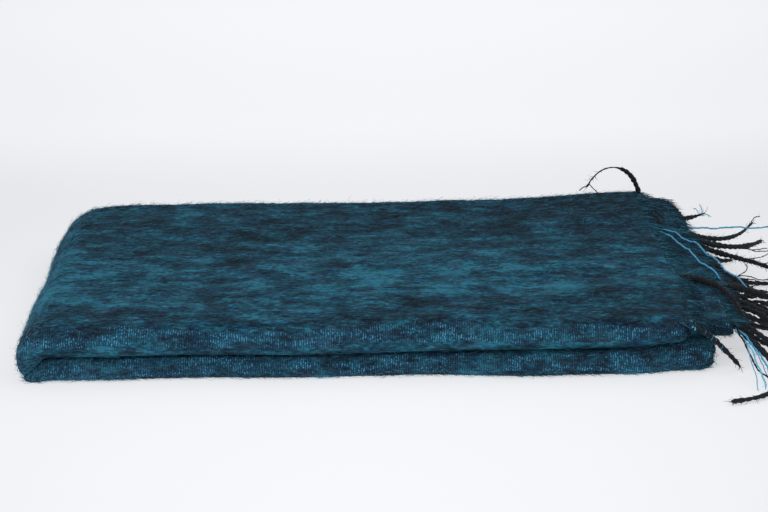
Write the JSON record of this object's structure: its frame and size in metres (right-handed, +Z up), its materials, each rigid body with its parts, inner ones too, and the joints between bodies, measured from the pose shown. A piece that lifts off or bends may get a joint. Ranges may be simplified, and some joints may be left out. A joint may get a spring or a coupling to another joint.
{
  "type": "folded shawl",
  "caption": "Brushed woolly woven shawl with a twisted fringe, folded into a flat pack that lies on a surface.",
  "frame": {"origin": "middle of the underside of the whole thing, fringe included", "axes": "+X along the pack towards the fringed end, +Y from the folded front to the back, +Z up"},
  "size_m": [0.6202, 0.3344, 0.0711],
  "materials": {
    "brushed_wool": "brushed, matt, with a long nap",
    "twisted_yarn": "twisted, matt"
  },
  "bodies": {
    "root": {"upper_fold": "brushed_wool", "lower_fold": "brushed_wool", "inner_end": "brushed_wool", "fringe_outer_end": "twisted_yarn", "fringe_inner_end": "twisted_yarn"}
  },
  "joints": []
}
